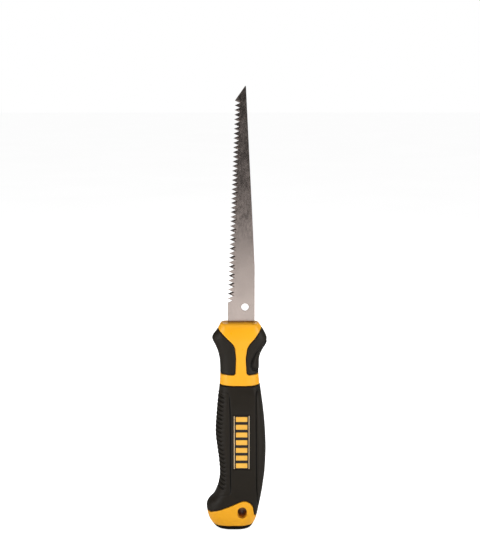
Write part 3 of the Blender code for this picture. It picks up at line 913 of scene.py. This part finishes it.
def blade_corners(ground):
    """One face of the blade, from the heel down the teeth, round the tang and up to the point.
    Ground edges are moved in."""
    count = int((FIRST_TOOTH - LAST_TOOTH) / TOOTH_PITCH)
    heel, point = np.array([edge_x(FIRST_TOOTH), FIRST_TOOTH]), np.array([TIP_X, BLADE_TIP])
    along = (point - heel) / np.linalg.norm(point - heel)
    plunge = (heel + TIP_GRIND * np.array([along[1], -along[0]]), along)
    flanks = [plunge]
    for i in range(count):
        z = FIRST_TOOTH - i * TOOTH_PITCH
        tip, middle = np.array([edge_x(z), z]), np.array([edge_x(z) + TOOTH_DEPTH, z])
        for way in (1, -1) if i else (-1,):
            root_z = z + way * TOOTH_PITCH / 2
            root = np.array([edge_x(root_z) + TOOTH_DEPTH, root_z])
            along = (tip - root) / np.linalg.norm(tip - root)
            inward = np.array([along[1], -along[0]])
            inward *= np.sign(inward @ (middle - root))
            flanks.append((root + (TOOTH_GRIND * inward if ground(i) else 0), along))
    corners = [cross(*a, *b) for a, b in zip(flanks, flanks[1:])]
    last_z = FIRST_TOOTH - (count - 0.5) * TOOTH_PITCH
    bend = (BASE_PALM, FIRST_TOOTH - (BASE_PALM - SPINE_AT_FIRST) / SPINE_TAPER)
    foot = [(edge_x(last_z) + TOOTH_DEPTH, last_z), (BASE_FINGER, last_z - 1.5), (BASE_FINGER, SHOULDER_Z)]
    foot += tang_outline(0.0)[::-1] + [(BASE_PALM, SHOULDER_Z), bend]
    foot.append(cross(*plunge, bend, np.array([TIP_X + 0.4, BLADE_TIP - 0.6]) - bend))
    return corners, foot


def make_blade(steel):
    """The plate with ground and set teeth, a ground point and a tang."""
    bm = bmesh.new()
    point = bm.verts.new((TIP_X, 0, BLADE_TIP))
    heel = bm.verts.new((edge_x(FIRST_TOOTH), 0, FIRST_TOOTH))
    chains = []
    for side in (-1, 1):
        corners, foot = blade_corners(lambda i: (i % 2 == 0) == (side < 0))
        ring = []
        for k, (x, z) in enumerate(corners):
            bend = TOOTH_SET * (1 if k % 4 == 0 else -1) if k % 2 == 0 and k > 0 else 0.0
            ring.append(bm.verts.new((x, side * BLADE_HALF + bend, z)))
        rest = [bm.verts.new((x, side * BLADE_HALF, z)) for x, z in foot]
        bm.faces.new([ring[0]] + ring[1::2] + rest)
        for k in range(2, len(ring) - 1, 2):
            bm.faces.new(ring[k - 1:k + 2])
        bm.faces.new((ring[-2], ring[-1], rest[0]))
        bm.faces.new((ring[0], rest[-1], point, heel))
        chains.append([heel] + ring + rest + [point])
    for a, b, c, d in zip(chains[0], chains[0][1:], chains[1][1:], chains[1]):
        bm.faces.new([a, b, c, d] if a is not d and b is not c else ([a, b, c] if a is d else [a, b, d]))
    bmesh.ops.translate(bm, vec=(SHIFT, 0, 0), verts=bm.verts)
    bmesh.ops.scale(bm, vec=(MM, MM, MM), verts=bm.verts)
    bmesh.ops.recalc_face_normals(bm, faces=bm.faces)
    blade = finished(bm, "blade_plate")
    holes = [drill(*HANGER, 5, 48)] + [drill(TANG_X, z, PIN_ROOM, 5, 40) for z in PIN_HEIGHTS]
    cut(blade, holes, sharp=20)
    settle(blade, ["blade"], "blade_steel", steel)


# ---- Materials
class Nodes:
    """Short calls for the nodes of a tree."""

    def __init__(self, tree, place):
        self.tree = tree
        self.place = tree.nodes.new("ShaderNodeTexCoord").outputs[place]

    def node(self, kind, inputs=(), **settings):
        made = self.tree.nodes.new("ShaderNode" + kind)
        for key, value in settings.items():
            setattr(made, key, value)
        for key, value in dict(inputs).items():
            if isinstance(value, bpy.types.NodeSocket):
                self.tree.links.new(value, made.inputs[key])
            else:
                made.inputs[key].default_value = value
        return made

    def noise(self, scale, detail=3.0, stretch=(1, 1, 1)):
        """Noise with features about 1 / scale metres wide, from 0 to 1."""
        place = self.node("Mapping", {"Vector": self.place, "Scale": stretch}).outputs[0]
        return self.node("TexNoise", {"Vector": place, "Scale": scale, "Detail": detail}).outputs["Fac"]

    def layer(self, name):
        return self.node("Attribute", attribute_name=name).outputs["Fac"]

    def spread(self, value, low, high, to_low=0.0, to_high=1.0):
        inputs = {"Value": value, "From Min": low, "From Max": high, "To Min": to_low, "To Max": to_high}
        return self.node("MapRange", inputs).outputs["Result"]

    def mix(self, amount, a, b):
        """A blend of two colours."""
        made = self.node("Mix", data_type="RGBA")
        for socket, value in ((made.inputs[0], amount), (made.inputs[6], a), (made.inputs[7], b)):
            if isinstance(value, bpy.types.NodeSocket):
                self.tree.links.new(value, socket)
            else:
                socket.default_value = value if isinstance(value, float) else (*value, 1.0)
        return made.outputs[2]

    def math(self, operation, a, b):
        return self.node("Math", {0: a, 1: b}, operation=operation).outputs[0]


class Look(Nodes):
    """A material with a Principled shader."""

    def __init__(self, name, roughness, metallic=0.0, specular=0.5):
        self.material = bpy.data.materials.new(name)
        self.material.use_nodes = True
        super().__init__(self.material.node_tree, "Object")
        self.shader = self.tree.nodes["Principled BSDF"]
        self.shader.inputs["Roughness"].default_value = roughness
        self.shader.inputs["Metallic"].default_value = metallic
        self.shader.inputs["Specular IOR Level"].default_value = specular

    def set(self, socket, value):
        self.tree.links.new(value, self.shader.inputs[socket])

    def bump(self, *layers):
        """Bumps laid over each other, each given as (height, distance in mm)."""
        normal = None
        for height, distance in layers:
            made = self.node("Bump", {"Strength": 1.0, "Distance": distance * MM, "Height": height})
            if normal:
                self.tree.links.new(normal, made.inputs["Normal"])
            normal = made.outputs[0]
        self.set("Normal", normal)


def rubber_look():
    """Matt black thermoplastic rubber with a fine moulded grain and lighter rubbed edges. Painted shade
    darkens the very edges along the seams, and dust with painted shade darkens the grooves.
    """
    look = Look("black_rubber", 0.62, specular=0.2)
    patches, grain, fine = look.noise(90), look.noise(1500, 2), look.noise(3800, 1)
    base = look.mix(look.spread(patches, 0.35, 0.65), (0.0100, 0.0070, 0.0036),
                    (0.0126, 0.0090, 0.0050))
    wear_and_seam_shade = look.mix(look.spread(look.math("MULTIPLY", look.layer("rim"), grain), 0.2, 0.6, 0.0, 0.4), base,
                    (0.024, 0.020, 0.016))
    # Painted shade: the colour turns darker at the very edges, along the seams.
    wear_and_seam_shade = look.mix(look.spread(look.layer("rim"), 0.7, 1.0, 0.0, 0.85), wear_and_seam_shade, (0.0035, 0.0026, 0.0018))
    # Dust and painted shade: the colour turns darker in the grooves, the rib notches and the crease.
    dust_and_groove_shade = look.mix(look.spread(look.layer("dip"), 0.05, 0.6, 0.0, 0.75), wear_and_seam_shade, (0.0055, 0.0048, 0.0040))
    look.set("Base Color", dust_and_groove_shade)
    look.set("Roughness", look.spread(patches, 0.3, 0.7, 0.5, 0.64))
    look.bump((grain, 0.05), (fine, 0.03))
    return look.material


def plastic_look():
    """Glossy yellow moulding with faint flow marks and an uneven skin. Painted shade turns it dark brown at
    the very edges along the seams and on the walls of the hang hole.
    """
    look = Look("yellow_plastic", 0.32, specular=0.26)
    flow, spots, skin_noise = look.noise(55, 4, (1, 1, 0.35)), look.noise(700, 2), look.noise(260, 2)
    base = look.mix(look.spread(flow, 0.35, 0.65), (0.85, 0.382, 0.010), (0.895, 0.412, 0.015))
    wear_and_seam_shade = look.mix(look.spread(look.math("MULTIPLY", look.layer("rim"), spots), 0.25, 0.7, 0.0, 0.25), base,
                    (0.80, 0.33, 0.02))
    # Painted shade: the colour turns dark brown at the very edges, along the seams.
    wear_and_seam_shade = look.mix(look.spread(look.layer("rim"), 0.72, 1.0, 0.0, 0.75), wear_and_seam_shade, (0.22, 0.08, 0.01))
    # Painted shade: the walls of the hang hole, marked in the dip layer, turn dark brown.
    look.set("Base Color", look.mix(look.layer("dip"), wear_and_seam_shade, (0.33, 0.13, 0.012)))
    look.set("Roughness", look.spread(look.math("ADD", skin_noise, spots), 0.7, 1.3, 0.27, 0.40))
    look.bump((skin_noise, 0.02), (spots, 0.006))
    return look.material


def steel_look():
    """Satin blade steel, blasted evenly, with a few faint stains."""
    look = Look("blade_steel", 0.28, metallic=1.0)
    mottle, fine = look.noise(750, 3, (1, 1, 0.5)), look.noise(2600, 2, (1, 1, 0.3))
    stains = look.noise(70, 4)
    base = look.mix(look.spread(mottle, 0.3, 0.7), (0.43, 0.363, 0.332), (0.49, 0.415, 0.379))
    stained = look.mix(look.spread(stains, 0.55, 0.75, 0.0, 0.5), base, (0.40, 0.335, 0.305))
    look.set("Base Color", stained)
    look.set("Roughness", look.spread(look.math("ADD", mottle, stains), 0.7, 1.3, 0.16, 0.26))
    look.bump((mottle, 0.004), (fine, 0.003))
    return look.material


def plain_look(name, dark, light, roughness, specular, grain_scale):
    look = Look(name, roughness, specular=specular)
    patches, grain = look.noise(140), look.noise(grain_scale, 2)
    look.set("Base Color", look.mix(look.spread(patches, 0.3, 0.7), dark, light))
    look.set("Roughness", look.spread(grain, 0.3, 0.7, roughness - 0.06, roughness + 0.06))
    look.bump((grain, 0.02))
    return look.material


# ---- Stage
FLOOR_SIZE = 14.0
FLOOR_FRONT = 1.5  # metres from its front edge to the saw
FLOOR_FADE = (-0.18, 0.04)  # metres across the saw, from bright to dim
FLOOR_SEEN, FLOOR_AHEAD, FLOOR_BEHIND = 0.94, 0.8, 0.04  # glow for the camera, and on the saw
FLOOR_DIM = (0.45, 0.45, 0.45)  # what the saw sees behind it

CAMERA_LENS = 77.8
CAMERA_RISE = 8.97  # degrees above the level
CAMERA_DISTANCE = 0.8
CAMERA_TARGET = (0.35, 0.18964)  # mm to the side of the blade's centre line, metres up


def make_floor():
    """A wide pale table, faintly uneven. It lights the saw more from in front than from behind, so
    that the outline stays dark."""
    bm = bmesh.new()
    bmesh.ops.create_grid(bm, x_segments=24, y_segments=24, size=FLOOR_SIZE / 2)
    bmesh.ops.translate(bm, vec=(0, FLOOR_SIZE / 2 - FLOOR_FRONT, 0), verts=bm.verts)
    floor = finished(bm, "floor")
    look = Look("floor_paint", 0.7, specular=0.2)
    tint = look.mix(look.noise(3), (0.92, 0.92, 0.92), (0.95, 0.95, 0.95))
    along = look.node("SeparateXYZ", {0: look.place}).outputs["Y"]
    seen = look.node("LightPath").outputs["Is Camera Ray"]
    near = look.mix(look.spread(along, *FLOOR_FADE), tint, FLOOR_DIM)
    look.set("Base Color", look.mix(seen, near, tint))
    look.set("Emission Color", tint)
    lit = look.spread(along, *FLOOR_FADE, FLOOR_AHEAD, FLOOR_BEHIND)
    look.set("Emission Strength", look.math("MAXIMUM", lit, look.math("MULTIPLY", seen, FLOOR_SEEN)))
    floor.data.materials.append(look.material)


def make_light(name, place, target, size, power):
    lamp = bpy.data.lights.new(name, "AREA")
    lamp.shape = "RECTANGLE"
    lamp.size, lamp.size_y = size
    lamp.energy = power
    thing = linked(name, lamp)
    thing.location = place
    thing.rotation_euler = (Vector(target) - Vector(place)).to_track_quat("-Z", "Y").to_euler()


def make_world(seen, front, behind):
    """White all round, as a cyclorama. Its light is softer from the front than from behind."""
    world = bpy.data.worlds.new("studio")
    bpy.context.scene.world = world
    world.use_nodes = True
    nodes = Nodes(world.node_tree, "Generated")
    along = nodes.node("SeparateXYZ", {0: nodes.place}).outputs["Y"]
    around = nodes.spread(along, -0.9, 0.1, front, behind)
    camera = nodes.node("LightPath").outputs["Is Camera Ray"]
    background = nodes.tree.nodes["Background"].inputs
    background["Color"].default_value = (1, 1, 1, 1)
    nodes.tree.links.new(nodes.spread(camera, 0.0, 1.0, around, seen), background["Strength"])


def make_camera():
    """The reference view: from the front, a little from above."""
    data = bpy.data.cameras.new("camera")
    data.sensor_width = 36
    data.lens = CAMERA_LENS
    data.clip_start, data.clip_end = 0.01, 20
    camera = linked("camera", data)
    rise = math.radians(CAMERA_RISE)
    target = Vector(((CAMERA_TARGET[0] + SHIFT) * MM, 0, CAMERA_TARGET[1]))
    back = Vector((0, -math.cos(rise), math.sin(rise)))
    camera.location = target + CAMERA_DISTANCE * back
    camera.rotation_euler = (-back).to_track_quat("-Z", "Y").to_euler()
    bpy.context.scene.camera = camera


make_camera()
make_floor()
make_world(1.0, 0.05, 0.12)
for side, x in (("left", -1.0), ("right", 1.0)):
    make_light(side + "_box", (x, -0.5, 0.36), (0, 0, 0.1), (0.7, 0.7), 9.0)
make_light("top_box", (-0.1, -0.9, 1.3), (0, 0, 0.14), (1.0, 0.7), 3.2)
make_light("back_box", (0.3, 1.0, 0.9), (0, 0, 0.1), (0.8, 0.6), 5.0)
bpy.context.scene.view_settings.view_transform = "Standard"

rubber, yellow, steel = rubber_look(), plastic_look(), steel_look()
foot_rubber = plain_look("foot_rubber", (0.0030, 0.0022, 0.0016), (0.0045, 0.0034, 0.0026), 0.7, 0.08, 1500)
badge_dark = plain_look("badge_dark", (0.009, 0.008, 0.007), (0.014, 0.012, 0.010), 0.45, 0.3, 1800)
badge_bars = plain_look("badge_bars", (0.80, 0.40, 0.045), (0.86, 0.46, 0.06), 0.4, 0.4, 1400)
badge_rails = plain_look("badge_rails", (0.72, 0.52, 0.30), (0.80, 0.60, 0.36), 0.4, 0.4, 1400)
pin_steel = plain_look("pin_steel", (0.5, 0.5, 0.5), (0.6, 0.6, 0.6), 0.3, 0.5, 1200)

make_blade(steel)
make_body(yellow)
make_pads(rubber)
make_sleeve(rubber)
make_butt_pad(foot_rubber)
make_badges(badge_dark, badge_bars, badge_rails)
for pin in ("tang_pin_upper", "tang_pin_lower"):
    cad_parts[pin].data.materials[0] = pin_steel
